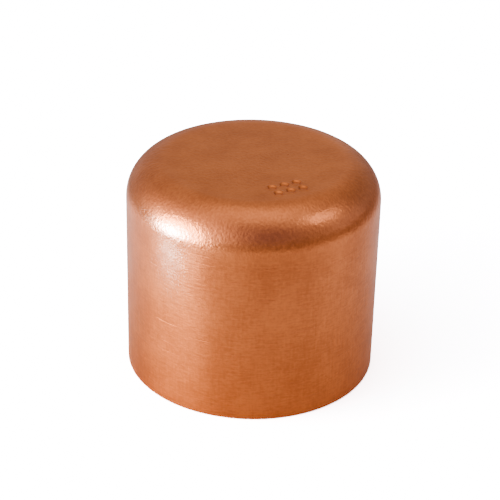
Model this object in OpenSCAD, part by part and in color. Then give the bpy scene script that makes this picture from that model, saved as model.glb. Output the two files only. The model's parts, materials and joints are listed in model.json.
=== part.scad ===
// End cap for a soldered copper tube: one seamless cup, deep-drawn from a flat disc.
// The origin is the centre of the open mouth, and +Z runs along the axis to the closed end.

/* [Socket] */
// Bore that fits over the tube: the tube's diameter plus the gap that the solder fills
socket_d = 28.7; // [22.3:0.05:54.2]
// Size of the 45 degree lead-in inside the mouth
lead_in = 0.3; // [0.1:0.05:0.4]

/* [Shell] */
// Thickness of the side, the shoulder and the closed end
wall = 1; // [0.8:0.05:1.6]
// Height from the mouth to the flat end
height = 26.9; // [16:0.1:60]
// Outer radius of the shoulder between the side and the end
shoulder_r = 4.6; // [2:0.1:5.6]
// Radius that breaks the outer edge of the mouth
edge_r = 0.2; // [0.05:0.05:0.3]

/* [Punched mark] */
// Diameter of each round dot at the surface
dot_d = 1.2; // [0.6:0.1:1.4]
// Diameter of the flat floor of each dot
dot_floor_d = 0.7; // [0.3:0.05:1.3]
// Depth of each dot
dot_depth = 0.16; // [0.04:0.01:0.3]
// Spacing of the dots, centre to centre
dot_pitch = 1.6; // [1.5:0.05:1.8]
// Dots in each row
dot_columns = 3; // [1:1:4]
// Rows of dots
dot_rows = 2; // [1:1:3]
// Distance from the cap's axis to the middle of the mark
mark_orbit = 8.3; // [0:0.1:9]
// Direction of the mark from the axis, in degrees from +X
mark_bearing = -62; // [-180:1:180]

/* [Hidden] */
$fn = 128;
socket_r = socket_d / 2;
outer_r = socket_r + wall;
end_r = outer_r - shoulder_r;            // radius of the flat of the closed end
inner_shoulder_r = shoulder_r - wall;    // same centre as the outer shoulder
past = 1;                                // how far a cutting shape runs past the face it cuts

// Half section of the cup's outside: flat end, round shoulder, straight side, broken edge
module outside_section() {
    square([end_r, height]);
    square([outer_r - edge_r, height - shoulder_r]);
    translate([0, edge_r]) square([outer_r, height - shoulder_r - edge_r]);
    translate([end_r, height - shoulder_r]) circle(shoulder_r);
    translate([outer_r - edge_r, edge_r]) circle(edge_r);
}

// Half section of the hollow: socket bore, round inner shoulder and flat bottom
module hollow_section() {
    translate([0, -past]) square([end_r, height - wall + past]);
    translate([0, -past]) square([socket_r, height - shoulder_r + past]);
    translate([end_r, height - shoulder_r]) circle(inner_shoulder_r);
}

// Half section of the lead-in: a 45 degree triangle that opens the mouth
module lead_in_section() {
    reach = lead_in + past;
    polygon([
        [socket_r - past, reach],
        [socket_r - past, -past],
        [socket_r + reach, -past],
    ]);
}

// The cup itself, with the same wall all round
module shell() {
    rotate_extrude() difference() {
        outside_section();
        hollow_section();
        lead_in_section();
    }
}

// The tip of the punch: a flat floor, a sloping wall and a plain shank
module punch_tip() {
    cylinder(h = dot_depth, d1 = dot_floor_d, d2 = dot_d);
    translate([0, 0, dot_depth]) cylinder(h = past, d = dot_d);
}

// Punch tips that press the dots of the mark into the flat end, in rows around the axis
module punched_mark() {
    rotate([0, 0, mark_bearing])
        translate([mark_orbit, 0, height - dot_depth])
            for (row = [0 : dot_rows - 1], column = [0 : dot_columns - 1])
                translate(dot_pitch * [
                    row - (dot_rows - 1) / 2,
                    column - (dot_columns - 1) / 2,
                    0,
                ])
                    punch_tip();
}

// The finished cap: one piece of copper
module cap() {
    color("#b86a3c") difference() {
        shell();
        punched_mark();
    }
}

cap();
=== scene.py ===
# %% [markdown]
# # A drawn copper tube cap
# A cap like this one closes the end of a copper water tube. A press draws it from one flat
# disc, so it is a single seamless cup: a flat end, a large round shoulder and a straight
# side that slides over the tube and is soldered to it.
#
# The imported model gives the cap's true sizes. This script builds a detailed mesh of the
# same cup round them, gives it the finish that drawing and polishing leave on copper, and
# lights it as a small studio would.

# %% Load the frame
import json
import math

import bpy
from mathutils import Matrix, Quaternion, Vector


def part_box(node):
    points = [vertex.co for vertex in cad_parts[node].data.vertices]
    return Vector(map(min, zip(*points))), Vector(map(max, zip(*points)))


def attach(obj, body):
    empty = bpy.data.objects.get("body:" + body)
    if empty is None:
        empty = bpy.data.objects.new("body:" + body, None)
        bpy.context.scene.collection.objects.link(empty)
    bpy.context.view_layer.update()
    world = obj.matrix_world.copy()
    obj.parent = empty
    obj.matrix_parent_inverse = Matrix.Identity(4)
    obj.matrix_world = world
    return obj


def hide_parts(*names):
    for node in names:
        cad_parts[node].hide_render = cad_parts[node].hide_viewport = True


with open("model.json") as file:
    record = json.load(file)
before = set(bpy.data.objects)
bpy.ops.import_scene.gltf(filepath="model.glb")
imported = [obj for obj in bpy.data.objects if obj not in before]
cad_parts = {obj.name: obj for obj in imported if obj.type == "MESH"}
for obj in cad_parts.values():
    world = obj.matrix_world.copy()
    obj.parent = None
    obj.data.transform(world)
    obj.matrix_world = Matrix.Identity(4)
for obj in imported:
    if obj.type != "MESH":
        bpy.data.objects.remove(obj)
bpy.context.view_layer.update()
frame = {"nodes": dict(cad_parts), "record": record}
scene = bpy.context.scene
MM = 0.001
print("frame nodes:", sorted(frame["nodes"]))

# %% [markdown]
# ## Sizes
# Nothing is measured twice. The outside sizes are those of the CAD node's box. The bore is
# the one stated for the socket mount, and the length of that bore tells where the inner
# shoulder starts, which gives the radius of the shoulder. Only the small breaks at the
# mouth and the punched dots, which no box or mount holds, are repeated here.

# %% Sizes of the cap
low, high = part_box("cap")
socket = next(m for m in frame["record"]["mounts"] if m["name"] == "socket")
outer_r = high[0]
height = high[2]
bore_r = socket["dims"]["r_mm"] * MM
wall = outer_r - bore_r
lead_in = 0.3 * MM
edge_r = 0.2 * MM
shoulder_r = height - lead_in - socket["dims"]["length_mm"] * MM
end_r = outer_r - shoulder_r
middle = Vector((0, 0, height / 2))
print(f"outer radius {outer_r / MM:.2f}, height {height / MM:.2f}, wall {wall / MM:.2f}, "
      f"shoulder {shoulder_r / MM:.2f} mm")

# %% [markdown]
# ## Node trees as Python expressions
# Both the shape and the finishes are node trees, and a tree of arithmetic is hard to read
# as a list of nodes and links. So a small class stands for a node's output and takes part
# in sums: `1 - mask` adds a Subtract node. Every other node comes from one method, which
# sets the node's own settings first and then its sockets, from values or from links.

# %% Wires and benches
class Wire:
    """One output of a node. Arithmetic on it adds Math nodes to the same tree."""

    def __init__(self, bench, socket):
        self.bench = bench
        self.socket = socket

    def __getitem__(self, output):
        return Wire(self.bench, self.socket.node.outputs[output])

    def maths(self, operation, *values):
        return self.bench.node("ShaderNodeMath", {"operation": operation}, dict(enumerate(values)))

    def __add__(self, other):
        return self.maths("ADD", self, other)

    def __radd__(self, other):
        return self.maths("ADD", other, self)

    def __sub__(self, other):
        return self.maths("SUBTRACT", self, other)

    def __rsub__(self, other):
        return self.maths("SUBTRACT", other, self)

    def __mul__(self, other):
        return self.maths("MULTIPLY", self, other)

    def __rmul__(self, other):
        return self.maths("MULTIPLY", other, self)

    def __truediv__(self, other):
        return self.maths("DIVIDE", self, other)

    def __rtruediv__(self, other):
        return self.maths("DIVIDE", other, self)

    def __pow__(self, other):
        return self.maths("POWER", self, other)

    def __gt__(self, other):
        return self.maths("GREATER_THAN", self, other)

    def __lt__(self, other):
        return self.maths("LESS_THAN", self, other)


class Bench:
    """A node tree, and the one method that adds any node to it."""

    def __init__(self, tree):
        self.tree = tree

    def node(self, kind, settings=None, sockets=None, output=0):
        """Any node: its settings are set first, then its sockets, from values or links."""
        made = self.tree.nodes.new(kind)
        for name, value in (settings or {}).items():
            setattr(made, name, value)
        for name, value in (sockets or {}).items():
            if isinstance(value, Wire):
                self.tree.links.new(value.socket, made.inputs[name])
            else:
                made.inputs[name].default_value = value
        return Wire(self, made.outputs[output]) if len(made.outputs) else made

    def vector(self, operation, a, b=(0, 0, 0), output=0):
        return self.node("ShaderNodeVectorMath", {"operation": operation}, {0: a, 1: b}, output)

    def scaled(self, vector, by):
        return self.node("ShaderNodeVectorMath", {"operation": "SCALE"}, {0: vector, "Scale": by})

    def xyz(self, x, y, z):
        return self.node("ShaderNodeCombineXYZ", None, {0: x, 1: y, 2: z})

    def ramp(self, value, low, high):
        """0 below low, 1 above high, and a smooth step between them."""
        sockets = {"Value": value, "From Min": low, "From Max": high}
        return self.node("ShaderNodeMapRange", {"interpolation_type": "SMOOTHSTEP"}, sockets)

    def noise(self, vector, scale=1.0, detail=0.0, roughness=0.5):
        """Smooth random values about 0, mostly within 0.25 of it."""
        sockets = {"Vector": vector, "Scale": scale, "Detail": detail, "Roughness": roughness}
        return self.node("ShaderNodeTexNoise", None, sockets) - 0.5

    def mixed(self, factor, a, b):
        """From one colour to another. Each is a wire or three numbers."""
        a, b = ((*colour, 1.0) if isinstance(colour, tuple) else colour for colour in (a, b))
        return self.node("ShaderNodeMix", {"data_type": "RGBA"}, {0: factor, 6: a, 7: b}, 2)


print("wires and benches ready")

# %% [markdown]
# ## The shape of the cup
# A drawn cup is a turned shape, so it follows a rule: one section, swept round the axis. The
# section is a bent line of nine corners. Fillet Curve rounds each corner to its own radius,
# and Subdivide Curve adds points along the straight runs, close together only on the ring
# of metal that carries the punched mark.

# %% The section of the cup
def pick(bench, index, values, kind):
    """The value that belongs to an index, from a list of values or wires."""
    made = bench.tree.nodes.new("GeometryNodeIndexSwitch")
    made.data_type = kind
    while len(made.index_switch_items) < len(values):
        made.index_switch_items.new()
    for socket_in, value in zip(made.inputs, [index, *values]):
        if isinstance(value, Wire):
            bench.tree.links.new(value.socket, socket_in)
        else:
            socket_in.default_value = value
    return Wire(bench, made.outputs[0])


def cup_section(bench, size):
    """The section as a curve, with radius along X and height along Z, from pole to pole."""
    radius, top, thick, soft = (size[k] for k in ("Outer radius", "Height", "Wall", "Soft edge"))
    orbit, reach, shoulder = (size[k] for k in ("Mark orbit", "Mark reach", "Shoulder radius"))
    bore, lead = radius - thick, size["Lead in"]
    corners = [
        # radius, height, fillet, steps in the fillet, spacing of the run that follows
        (0.0, top, 0.0, 1, 0.6 * MM),
        (orbit - reach, top, 0.0, 1, 0.055 * MM),
        (orbit + reach, top, 0.0, 1, 0.4 * MM),
        (radius, top, shoulder, 30, 0.7 * MM),
        (radius, 0.0, size["Edge radius"], 6, 0.2 * MM),
        (bore + lead, 0.0, soft, 3, 0.2 * MM),
        (bore, lead, soft, 3, 1.0 * MM),
        (bore, top - thick, shoulder - thick, 16, 0.8 * MM),
        (0.0, top - thick, 0.0, 1, 1.0),
    ]
    index = bench.node("GeometryNodeInputIndex")
    r, z, fillet, steps, spacing = (
        pick(bench, index, values, "INT" if k == 3 else "FLOAT")
        for k, values in enumerate(zip(*corners))
    )
    line = bench.node("GeometryNodeMeshLine", None, {"Count": len(corners)})
    line = bench.node("GeometryNodeMeshToCurve", None, {"Mesh": line})
    line = bench.node("GeometryNodeSetPosition", None, {0: line, "Position": bench.xyz(r, 0, z)})
    line = bench.node("GeometryNodeStoreNamedAttribute", None,
                      {0: line, "Name": "spacing", "Value": spacing})
    line = bench.node("GeometryNodeFilletCurve", {"mode": "POLY"},
                      {0: line, "Count": steps, "Radius": fillet, "Limit Radius": True})
    here = bench.node("GeometryNodeInputPosition")
    onward = bench.node("GeometryNodeFieldAtIndex", {"data_type": "FLOAT_VECTOR"},
                        {"Value": here, "Index": index + 1})
    run = bench.vector("DISTANCE", here, onward, "Value")
    step = bench.node("GeometryNodeInputNamedAttribute", None, {"Name": "spacing"})
    return bench.node("GeometryNodeSubdivideCurve", None, {0: line, "Cuts": run / step})


print("the section has nine corners")

# %% [markdown]
# ## Sweeping the section
# A Screw modifier or Curve to Mesh could do the sweep, with the same step all the way round.
# A grid whose columns are laid round the axis is used instead, because the columns can then
# stand close together in the sector that carries the punched mark. The grid's rows take
# their places from the section's points, and one merge closes the seam and both poles. The
# columns run clockwise, so that faces point out.

# %% The sweep round the axis
def column_angle(column, size):
    """The bearing of a column: fine steps over the mark's sector, then coarse ones."""
    fine, sector = size["Fine columns"], size["Mark sector"]
    in_sector = column.maths("MINIMUM", column, fine) * (sector / fine)
    coarse_step = (math.tau - sector) / (size["Around"] - fine)
    after_sector = column.maths("MAXIMUM", column - fine, 0) * coarse_step
    return size["Mark bearing"] + sector / 2 - in_sector - after_sector


def swept(bench, section, size):
    """A closed mesh: the section, repeated round the axis."""
    rows = bench.node("GeometryNodeAttributeDomainSize", {"component": "CURVE"}, {0: section})
    sheet = bench.node("GeometryNodeMeshGrid", None,
                       {"Vertices X": size["Around"] + 1, "Vertices Y": rows})
    index = bench.node("GeometryNodeInputIndex")
    column = index.maths("FLOOR", index / rows)
    place = bench.node("GeometryNodeSampleIndex", {"data_type": "FLOAT_VECTOR"},
                       {0: section, "Value": bench.node("GeometryNodeInputPosition"),
                        "Index": index - column * rows})
    place = bench.node("ShaderNodeSeparateXYZ", None, {0: place})
    angle = column_angle(column, size)
    across = place["X"]
    spun = bench.xyz(across * angle.maths("COSINE", angle),
                     across * angle.maths("SINE", angle), place["Z"])
    sheet = bench.node("GeometryNodeSetPosition", None, {0: sheet, "Position": spun})
    return bench.node("GeometryNodeMergeByDistance", None, {0: sheet, "Distance": 0.001 * MM})


print("sweep ready")

# %% [markdown]
# ## What the press and the punch leave
# A real cup isn't as true as its drawing. The metal flows a few hundredths of a millimetre
# unevenly, which is enough to bend a reflection, and the trimmed mouth is never quite
# level. The mark on the end is a cluster of plain round dots. Each is the print of a blunt
# punch: a small floor, a sloping wall and a low lip of the metal that was pushed aside.
#
# These are moved points and not a bump in the finish, so the mesh itself holds them. One
# formula serves all the dots: a place is folded back to its nearest dot in the rows.

# %% Dents and dots
MARK_ROWS, MARK_COLUMNS = 2, 3
DOT_FOOT, DOT_BRIM = 0.55, 1.03  # where a dot's wall starts and ends, as shares of its radius
LIP_PLACE, LIP_WIDTH = 1.15, 0.12  # where its lip stands, and how wide, as shares of its radius
LIP_HEIGHT = 0.13  # the lip's height, as a share of the dot's depth
END_SKIN = 0.02 * MM  # a point this close under the top is on the flat end
TRIM_BAND = 1.2 * MM  # how far up from the mouth the trimming is felt


def nearest_offset(along, pitch, count):
    """The distance to the nearest of a row of evenly spaced points about zero."""
    middle_cell = (count - 1) / 2
    cell = along / pitch + middle_cell
    cell = cell.maths("ROUND", cell)
    cell = cell.maths("MINIMUM", cell.maths("MAXIMUM", cell, 0), count - 1)
    return along - (cell - middle_cell) * pitch


def dot_height(bench, place, size):
    """How far the punched mark lifts a point of the end, which is mostly below zero."""
    turn = {"Vector": place, "Axis": (0, 0, 1), "Angle": size["Mark bearing"] * -1}
    turned = bench.node("ShaderNodeVectorRotate", None, turn)
    turned = bench.node("ShaderNodeSeparateXYZ", None, {0: turned})
    out = nearest_offset(turned["X"] - size["Mark orbit"], size["Dot pitch"], MARK_ROWS)
    along = nearest_offset(turned["Y"], size["Dot pitch"], MARK_COLUMNS)
    away = (out * out + along * along) ** 0.5 / size["Dot radius"]
    print_depth = 1 - bench.ramp(away, DOT_FOOT, DOT_BRIM)
    from_lip = (away - LIP_PLACE) / LIP_WIDTH
    lip = from_lip.maths("EXPONENT", from_lip * from_lip * -1)
    return size["Dot depth"] * (LIP_HEIGHT * lip - print_depth)


def worked(bench, cup, size):
    """The cup with its unevenness, its trimmed mouth and its punched mark."""
    place = bench.node("GeometryNodeInputPosition")
    normal = bench.node("GeometryNodeInputNormal")
    level = bench.node("ShaderNodeSeparateXYZ", None, {0: place})["Z"]
    on_end = level > size["Height"] - END_SKIN
    lift = on_end * dot_height(bench, place, size)
    swells = bench.noise(place, 140.0, 1.5) * 1.6  # about 7 mm long
    ripples = bench.noise(place, 620.0, 1.0) * 0.35  # under 2 mm long
    nicks = bench.noise(place, 260.0, 3.0) + 0.5  # upwards only, so the rim never dips under the floor
    trim = nicks * (1 - bench.ramp(level, 0, TRIM_BAND))
    offset = bench.vector("ADD", bench.scaled(normal, (swells + ripples) * size["Unevenness"]),
                          bench.xyz(0, 0, lift + trim * size["Trim"]))
    return bench.node("GeometryNodeSetPosition", None, {0: cup, "Offset": offset})


print("dents and dots ready")

# %% [markdown]
# ## Three surfaces
# Three surfaces of the cup were made in three ways. The outside was drawn over a polished
# die and then buffed, the inside slid along the punch, and the rim was cut. So there are
# three materials, which the tree hands out by where a face is and which way it faces. They
# get their nodes further down.

# %% Materials for the three surfaces
finishes = {}
for name in ("outside", "inside", "rim"):
    finishes[name] = bpy.data.materials.new(name)
    finishes[name].use_nodes = True
    finishes[name].node_tree.nodes.clear()


def finished(bench, cup, size):
    """The cup shaded smooth, with a material on each of its three surfaces."""
    place = bench.node("GeometryNodeInputPosition")
    normal = bench.node("GeometryNodeInputNormal")
    outward = bench.vector("SUBTRACT", place, bench.xyz(0, 0, size["Height"] / 2))
    facing = bench.vector("DOT_PRODUCT", normal, outward, "Value")
    level = bench.node("ShaderNodeSeparateXYZ", None, {0: place})["Z"]
    cup = bench.node("GeometryNodeSetShadeSmooth", None, {0: cup})
    cup = bench.node("GeometryNodeRealizeInstances", None, {0: cup})
    chosen = {"outside": True, "inside": facing < 0, "rim": level < size["Lead in"]}
    for name, faces in chosen.items():
        cup = bench.node("GeometryNodeSetMaterial", None,
                         {0: cup, "Selection": faces, "Material": finishes[name]})
    return cup


print("finishes:", list(finishes))

# %% [markdown]
# ## The whole tree
# Every size is a named input of the tree, so the same tree makes a cap for another tube.
# A modifier's input is set by its socket's identifier. The evaluated object is copied to
# a plain mesh, and the object that carried the modifier is thrown away.

# %% Growing the cap
sizes = {
    "Outer radius": outer_r,
    "Height": height,
    "Wall": wall,
    "Shoulder radius": shoulder_r,
    "Lead in": lead_in,
    "Edge radius": edge_r,
    "Soft edge": 0.05 * MM,
    "Mark orbit": 8.3 * MM,
    "Mark reach": 1.7 * MM,
    "Mark bearing": math.radians(-62),
    "Mark sector": math.radians(41),
    "Dot radius": 0.6 * MM,
    "Dot depth": 0.16 * MM,
    "Dot pitch": 1.6 * MM,
    "Unevenness": 0.02 * MM,
    "Trim": 0.05 * MM,
}
counts = {"Around": 436, "Fine columns": 118}


def cup_tree():
    """The whole node tree, with a named input for every size."""
    tree = bpy.data.node_groups.new("drawn_cup", "GeometryNodeTree")
    for name in sizes:
        tree.interface.new_socket(name, in_out="INPUT", socket_type="NodeSocketFloat")
    for name in counts:
        tree.interface.new_socket(name, in_out="INPUT", socket_type="NodeSocketInt")
    tree.interface.new_socket("Cup", in_out="OUTPUT", socket_type="NodeSocketGeometry")
    bench = Bench(tree)
    size = bench.node("NodeGroupInput")
    cup = swept(bench, cup_section(bench, size), size)
    cup = finished(bench, worked(bench, cup, size), size)
    bench.node("NodeGroupOutput", None, {0: cup})
    return tree


def grown(name, tree, values):
    """A plain mesh object made by a tree with these values."""
    seed = bpy.data.objects.new(name + "_seed", bpy.data.meshes.new(name + "_seed"))
    scene.collection.objects.link(seed)
    modifier = seed.modifiers.new("grow", "NODES")
    modifier.node_group = tree
    for entry in tree.interface.items_tree:
        if entry.in_out == "INPUT":
            modifier[entry.identifier] = values[entry.name]
    shaped = seed.evaluated_get(bpy.context.evaluated_depsgraph_get())
    mesh = bpy.data.meshes.new_from_object(shaped)
    bpy.data.objects.remove(seed)
    mesh.name = name
    piece = bpy.data.objects.new(name, mesh)
    scene.collection.objects.link(piece)
    return piece


cap = grown("drawn_cap", cup_tree(), {**sizes, **counts})
print(f"cap: {len(cap.data.polygons)} faces, {[round(d / MM, 3) for d in cap.dimensions]} mm")
print("materials:", [material.name for material in cap.data.materials if material])

# %% [markdown]
# ## The bare metal
# All three finishes are the same bare copper. Most of the change from orange to pink over
# such a surface comes from what it mirrors, so two close tones are enough: the clean metal,
# and a deeper one for faint clouds of tarnish and for painted shade in the hollows of the
# grain. A third colour, which the others are multiplied by, is a brown: on the side it is
# painted shade, darker and browner towards the bottom, and it also browns the flat end.
# Every pattern is worked out in millimetres from the piece's Object coordinates, so it has
# its true size on the cap.

# %% Copper and its places
COPPER = (0.70, 0.275, 0.133)
DEEP_COPPER = (0.57, 0.215, 0.104)
BROWN_AND_SHADE = (0.96, 0.94, 0.87)  # a brown the copper is multiplied by: painted shade low on the side, and the end's tone
EDGE_TINT = (1.0, 0.95, 0.92)
QUARTER_TURN = 0.25  # lays the stretch of a reflection across the scratches
UNROLL_R = 15  # millimetres: patterns that go round the axis are worked out at this radius


class Place:
    """Where a point of the cap is, in millimetres: along X, Y, Z, and out from the axis."""

    def __init__(self, bench):
        coordinates = bench.node("ShaderNodeTexCoord", output="Object")
        self.point = bench.scaled(coordinates, 1 / MM)
        split = bench.node("ShaderNodeSeparateXYZ", None, {0: self.point})
        self.x, self.y, self.z = split["X"], split["Y"], split["Z"]
        self.out = (self.x * self.x + self.y * self.y) ** 0.5

    def unroll(self):
        """What X and Y are multiplied by, so that a streak keeps its bearing at any radius."""
        return UNROLL_R / self.out.maths("MAXIMUM", self.out, 1.0)


def copper(bench, colour, roughness, height_map, depth, anisotropic=0.0):
    """Bare copper whose colour, gloss and fine relief come from wires."""
    relief = bench.node("ShaderNodeBump", None, {"Height": height_map, "Distance": depth})
    return bench.node("ShaderNodeBsdfPrincipled", None, {
        "Base Color": colour, "Metallic": 1.0, "Roughness": roughness, "Normal": relief,
        "Specular Tint": (*EDGE_TINT, 1.0),
        "Anisotropic": anisotropic,
        "Anisotropic Rotation": QUARTER_TURN if anisotropic else 0.0,
    })


def surface(name, shader_of):
    """Gives one of the three materials its shader."""
    bench = Bench(finishes[name].node_tree)
    bench.node("ShaderNodeOutputMaterial", None, {"Surface": shader_of(bench, Place(bench))})
    print(name, "has", len(finishes[name].node_tree.nodes), "nodes")


# %% [markdown]
# ## The outside
# The side was buffed while the cap turned, so short fine scratches run round it and stretch
# every reflection up and down: that is what Anisotropic does, with its rotation a quarter
# turn off the lines. Under them are the drag marks of the die, along the axis, and a few
# deep scores. The buff bore hardest just under the shoulder, so the gloss grows upwards.
#
# The shoulder and the end weren't buffed. They show the skin of drawn metal, an orange peel
# of grains a third of a millimetre across, which the bend of the shoulder has pulled into
# short wrinkles. A Mix Shader changes one finish for the other at the foot of the shoulder.

# %% Buffed side and drawn shoulder
SIDE_TOP = (height - shoulder_r) / MM
END_EDGE = end_r / MM
BEND_BLUR = 1.5  # millimetres: how far the grain changes on each side of the end's edge
SIDE_ROUGHNESS = 0.42  # low on the side
SIDE_BUFFING = 0.1  # what the buff takes off that towards the top
SCRATCH_STRETCH = 0.61  # how much the scratches stretch a reflection, of 1
SCRATCH_DEPTH = 0.021 * MM
SHOULDER_ROUGHNESS = 0.30
PEEL_DEPTH = 0.042 * MM
RUB = 0.1  # how much handling changes the roughness


def copper_tone(bench, place, grain):
    """Copper with faint clouds of tarnish, and painted shade that makes it a little darker in the
    hollows of the grain.
    """
    cloud = bench.noise(place.point, 0.22, 3.0, 0.55)
    shade = bench.ramp(cloud * 1.2 + grain * 1.1, -0.5, 0.5)
    return bench.mixed(shade, DEEP_COPPER, COPPER)


def browned_and_shaded(bench, colour, amount):
    """The colour multiplied towards the brown by this amount: painted shade on the side, a browner
    end.
    """
    return bench.vector("MULTIPLY", colour, bench.mixed(amount, (1.0, 1.0, 1.0), BROWN_AND_SHADE))


def buffed(bench, place):
    """The side: short scratches round the axis, drag marks along it, and a few deep scores."""
    lines = bench.noise(bench.xyz(place.x / 1.2, place.y / 1.2, place.z / 0.2), 1.0, 2.0, 0.6)
    drags = bench.noise(bench.xyz(place.x / 0.3, place.y / 0.3, place.z / 3), 1.0, 1.0)
    grain = bench.noise(place.point, 2.6, 1.0)
    scores = bench.noise(bench.xyz(place.x / 4, place.y / 4, place.z / 0.25), 1.0)
    score = bench.ramp(scores, 0.24, 0.34)
    rub = bench.noise(place.point, 0.35, 3.0)
    # The scratch relief raises the bump and, through copper_tone, also paints shade into its hollows.
    scratch_relief = lines * 0.9 + drags * 0.35 + grain * 0.6
    # Painted shade: the side is made darker and browner towards the bottom.
    colour = browned_and_shaded(bench, copper_tone(bench, place, scratch_relief), 1 - bench.ramp(place.z, -2, 18))
    roughness = SIDE_ROUGHNESS - bench.ramp(place.z, 4, SIDE_TOP - 1) * SIDE_BUFFING
    return copper(bench, colour, roughness + rub * RUB + lines * 0.1,
                  scratch_relief - score * 0.7, SCRATCH_DEPTH, SCRATCH_STRETCH)


def drawn(bench, place):
    """The shoulder and the end: grains, pulled into wrinkles down the bend."""
    arc = (place.out - place.z) / 1.5
    on_bend = bench.ramp(place.out, END_EDGE - BEND_BLUR, END_EDGE + BEND_BLUR)
    turn = place.unroll()
    wrinkles = bench.noise(bench.xyz(place.x * turn, place.y * turn, arc), 3.0, 1.5, 0.55)
    grains = bench.noise(place.point, 3.0, 1.5, 0.55)
    # The peel is relief, and through copper_tone it also paints shade into its own hollows.
    peel = wrinkles * on_bend + grains * (1 - on_bend) * 0.6
    rub = bench.noise(place.point, 0.35, 3.0)
    # The flat end takes the brown in full, and it fades out over the bend.
    colour = browned_and_shaded(bench, copper_tone(bench, place, peel), 1 - on_bend)
    return copper(bench, colour, SHOULDER_ROUGHNESS + rub * RUB, peel, PEEL_DEPTH)


def outside(bench, place):
    """The buffed finish up to the foot of the shoulder, and the drawn one above it."""
    waver = bench.noise(place.point, 0.3, 2.0) * 0.6
    on_side = 1 - bench.ramp(place.z + waver, SIDE_TOP - 2, SIDE_TOP + 0.4)
    return bench.node("ShaderNodeMixShader", None,
                      {0: on_side, 1: drawn(bench, place), 2: buffed(bench, place)})


surface("outside", outside)

# %% [markdown]
# ## The inside and the rim
# Nobody buffs the inside. It is duller and a little darker, with scores along the axis
# where it slid up the punch. The rim was trimmed in a lathe and stays bright, with the
# tool's lines running round it.

# %% Inside and rim
def slid(bench, place):
    """The inside: scores along the axis, from the punch."""
    turn = place.unroll()
    scores = bench.noise(bench.xyz(place.x * turn * 2, place.y * turn * 2, place.z / 6), 1.0, 3.0)
    # The scores also paint shade into their hollows, through copper_tone.
    return copper(bench, copper_tone(bench, place, scores), 0.5 + scores * 0.15,
                  scores, 0.01 * MM)


def trimmed(bench, place):
    """The rim: fine lines round the axis, from the tool that cut it."""
    lines = bench.noise(bench.xyz(place.out, place.z, 0), 14.0, 2.0)
    # The lines also paint shade into their hollows, through copper_tone.
    return copper(bench, copper_tone(bench, place, lines), 0.3 + lines * 0.1, lines, 0.004 * MM)


surface("inside", slid)
surface("rim", trimmed)

# %% [markdown]
# ## Joining the cap to the frame
# The cap is one piece, so it stands for the one CAD node and rides on its one body.

# %% The cap in the frame
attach(cap, "root")
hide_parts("cap")
print("drawn_cap rides on root")

# %% [markdown]
# ## Floor
# Polished metal is only as good as what it mirrors, so the stage is built for the
# reflections. The camera looks down on the cap, and so the upright side mirrors the floor.
# The floor is a wide pale sheet whose tone is graded, with painted light and shade for the
# cap to mirror: a little darker on the left and paler on the right, where the cap's shadow
# falls, with a white card beyond on the left that is painted brighter than white, and darker
# again far off, where the foot of the shoulder mirrors it, except towards the key light,
# where a painted pool of light keeps it pale. Seen directly it is made brighter than the cap
# sees it, as a cut-out background would be, and it still takes the cap's soft shadow.
#
# Directions on the stage are given by a bearing, which is 0 in front of the cap and grows to
# the right. Distances on the floor are multiples of the cap's radius.

# %% Directions
def toward(azimuth, elevation):
    """The direction at a bearing from the front, and at an angle above the floor."""
    bearing, rise = math.radians(azimuth), math.radians(elevation)
    return Vector((math.sin(bearing) * math.cos(rise),
                   -math.cos(bearing) * math.cos(rise), math.sin(rise)))


print("front:", [round(v, 3) for v in toward(0, 0)], "right:", [round(v, 3) for v in toward(90, 0)])

# %% Pale floor
FLOOR_REACH = 6.0  # metres from the cap to each side
# Painted light and shade on the floor: paler on the right, where the cap's shadow falls, darker far
# off, and a card brighter than white.
FLOOR_ON_THE_LEFT = (0.83, 0.81, 0.78)
FLOOR_ON_THE_RIGHT = (0.99, 1.0, 1.02)
FLOOR_FARTHER_OFF = (0.50, 0.46, 0.43)
WHITE_CARD = (1.1, 1.08, 1.12)
FLOOR_SEEN_BY_CAMERA = 4.4
LEFT_TO_RIGHT = (-1.5 * outer_r, 3 * outer_r)  # between these the left tone becomes the right
FARTHER_OFF = (4.4 * outer_r, 6.8 * outer_r)  # between these distances the floor darkens
TOWARDS_KEY = (2.5 * outer_r, 6 * outer_r)  # and between these it stays pale, on the key's side
CARD_PLACE = toward(-112, 0) * 4 * outer_r
CARD_EDGE = (outer_r, 3.3 * outer_r)  # between these distances from its place the card fades


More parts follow.
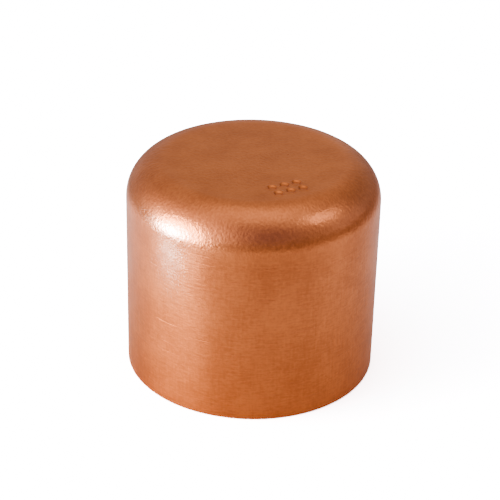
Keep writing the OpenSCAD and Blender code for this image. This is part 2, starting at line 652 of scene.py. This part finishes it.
def studio_floor():
    """One large square, whose matt tone changes with the place on it."""
    corners = [(FLOOR_REACH * x, FLOOR_REACH * y, low[2])
               for x, y in ((-1, -1), (1, -1), (1, 1), (-1, 1))]
    mesh = bpy.data.meshes.new("studio_floor")
    mesh.from_pydata(corners, [], [(0, 1, 2, 3)])
    paper = bpy.data.materials.new("paper")
    paper.use_nodes = True
    paper.node_tree.nodes.clear()
    bench = Bench(paper.node_tree)
    point = bench.node("ShaderNodeTexCoord", output="Object")
    rightward = bench.vector("DOT_PRODUCT", point, toward(125, 0), "Value")
    on_right = bench.ramp(rightward, *LEFT_TO_RIGHT)
    tone = bench.mixed(on_right, FLOOR_ON_THE_LEFT, FLOOR_ON_THE_RIGHT)
    away = bench.vector("LENGTH", point, (0, 0, 0), "Value")
    # Painted shade far off, but towards the key a painted pool of light keeps the floor pale.
    keyward = bench.vector("DOT_PRODUCT", point, toward(-75, 0), "Value")
    unlit = 1 - bench.ramp(keyward, *TOWARDS_KEY)
    far = bench.ramp(away, *FARTHER_OFF)
    tone = bench.mixed(far * unlit, tone, FLOOR_FARTHER_OFF)
    # Painted light: the card is brighter than white paper can be.
    from_card = bench.vector("DISTANCE", point, CARD_PLACE, "Value")
    card = 1 - bench.ramp(from_card, *CARD_EDGE)
    tone = bench.mixed(card, tone, WHITE_CARD)
    seen = bench.node("ShaderNodeLightPath", output="Is Camera Ray")
    tone = bench.mixed(seen, tone, (FLOOR_SEEN_BY_CAMERA,) * 3)
    matt = bench.node("ShaderNodeBsdfDiffuse", None, {"Color": tone})
    bench.node("ShaderNodeOutputMaterial", None, {"Surface": matt})
    mesh.materials.append(paper)
    floor = bpy.data.objects.new("studio_floor", mesh)
    scene.collection.objects.link(floor)
    return floor


studio_floor()
print("floor laid")

# %% [markdown]
# ## Light
# The room is a pale tent: bright overhead and on the left, and darker in front, where the
# camera stands. Copper shows that as the dark front of the shoulder. The tent is worked out
# from the direction alone, and the camera itself sees plain white.
#
# Three soft boxes stand in it. The key stands on the floor on the left, so that it lights
# the floor, and its reflection is the broad band down the side and the glow on the
# shoulder. The spot is a small cool one that makes the white core of that glow. It is close,
# and its narrow beam points up a little, so that it passes over the side. The fill is a
# small one, high on the right. Each is placed by its direction as seen from the cap, and
# its power is worked out from the brightness that its face should have.

# %% Tent of light
PLAIN_TENT = (0.57, 0.57, 0.61)
WHITE_SEEN_BY_CAMERA = 4.0


def tent():
    """A world that is a plain tent, with soft-edged cards that add light or take it away."""
    cards = [
        # bearing, elevation, half width in degrees, light added in red, green and blue
        (0, 90, 36, (0.41, 0.41, 0.39)),
        (180, 30, 60, (0.02, 0.01, -0.04)),
        (-66, 14, 62, (0.62, 0.57, 0.57)),
        (0, 30, 36, (-0.12, -0.13, -0.09)),
        (24, 18, 38, (-0.08, -0.09, -0.05)),
        (35, 3, 50, (-0.07, -0.07, -0.07)),
        (95, 2, 34, (0.07, 0.09, 0.16)),
        (132, 14, 42, (-0.19, -0.18, -0.17)),
        (-150, 8, 40, (-0.08, -0.08, -0.06)),
    ]
    world = bpy.data.worlds.new("tent")
    world.use_nodes = True
    world.node_tree.nodes.clear()
    bench = Bench(world.node_tree)
    direction = bench.node("ShaderNodeTexCoord", output="Generated")
    light = PLAIN_TENT
    for azimuth, elevation, half_width, added in cards:
        nearness = bench.vector("DOT_PRODUCT", direction, toward(azimuth, elevation), "Value")
        card = bench.ramp(nearness, math.cos(math.radians(half_width)), 1.0)
        light = bench.vector("ADD", light, bench.scaled(added, card))
    seen = bench.node("ShaderNodeLightPath", output="Is Camera Ray")
    glow = bench.node("ShaderNodeBackground", None,
                      {"Color": bench.mixed(seen, light, (WHITE_SEEN_BY_CAMERA,) * 3)})
    bench.node("ShaderNodeOutputWorld", None, {0: glow})
    return world


scene.world = tent()
print("tent up")

# %% Soft boxes
def soft_box(name, place, target, width, tall, radiance, tint, beam=180):
    """A round soft light that faces the target, as bright as asked at its face."""
    lamp = bpy.data.lights.new(name, "AREA")
    lamp.shape = "ELLIPSE"
    lamp.size = width
    lamp.size_y = tall
    lamp.energy = math.pi * radiance * math.pi / 4 * width * tall
    lamp.color = tint
    if beam < 180:
        lamp.spread = math.radians(beam)
        half = lamp.spread / 2
        lamp.energy *= 1 - half / math.tan(half)  # a narrow beam is brighter head on
    box = bpy.data.objects.new(name, lamp)
    box.location = place
    box.rotation_euler = (place - target).to_track_quat("Z", "Y").to_euler()
    box.visible_camera = False
    scene.collection.objects.link(box)
    print(f"{name}: {lamp.energy:.4f} W")


near_floor = Vector((0, 0, 0.005))
soft_box("key", toward(-62, 0) * 0.09 + near_floor, near_floor,
         width=0.076, tall=0.128, radiance=4.4, tint=(0.97, 0.99, 0.94))

glint = toward(-36, 0) * 0.0142 + Vector((0, 0, 0.0241))
above_glint = glint + Vector((0, 0, 0.0045))
soft_box("spot", glint + toward(-72, 2) * 0.032, above_glint,
         width=0.028, tall=0.022, radiance=42.0, tint=(0.3, 0.97, 2.1), beam=25)

shoulder_level = Vector((0, 0, 0.023))
soft_box("fill", toward(74, 41) * 0.13 + shoulder_level, shoulder_level,
         width=0.060, tall=0.054, radiance=1.15, tint=(0.95, 0.985, 1.0))

# %% [markdown]
# ## Camera
# The camera looks down at the cap from a little way off with a long lens. It isn't quite
# level, and it aims a hair to the left of the cap and above its middle.

# %% Camera
REACH = 13.0954 * outer_r  # from the middle of the cap
DIP = 0.5025  # radians that the camera looks down by
ROLL = 0.0248  # radians that it leans by
ASIDE, ABOVE = 0.0183 * outer_r, 0.0668 * outer_r  # from the middle of the cap to the aim
LENS_MM, SENSOR_MM = 117.56, 36


def camera():
    """A camera in front of the cap, which looks down at it."""
    view = bpy.data.cameras.new("camera")
    view.lens = LENS_MM
    view.sensor_width = SENSOR_MM
    view.clip_start = 0.01
    stand = bpy.data.objects.new("camera", view)
    back = Vector((0, -math.cos(DIP), math.sin(DIP)))
    upward = Vector((0, math.sin(DIP), math.cos(DIP)))
    stand.location = middle + back * REACH
    aim = middle + Vector((-ASIDE, 0, 0)) + upward * ABOVE
    facing = (aim - stand.location).to_track_quat("-Z", "Y")
    stand.rotation_euler = (facing @ Quaternion((0, 0, 1), ROLL)).to_euler()
    scene.collection.objects.link(stand)
    return stand


scene.camera = camera()
print("camera at", [round(v, 4) for v in scene.camera.location])

# %% [markdown]
# ## Colour on screen
# A plain conversion keeps bright copper orange until it clips. A filmic one lets it pale
# towards white as film and good cameras do, and the stronger contrast suits a product.

# %% View transform
scene.view_settings.view_transform = "AgX"
scene.view_settings.look = "AgX - Very High Contrast"
print("view:", scene.view_settings.look)
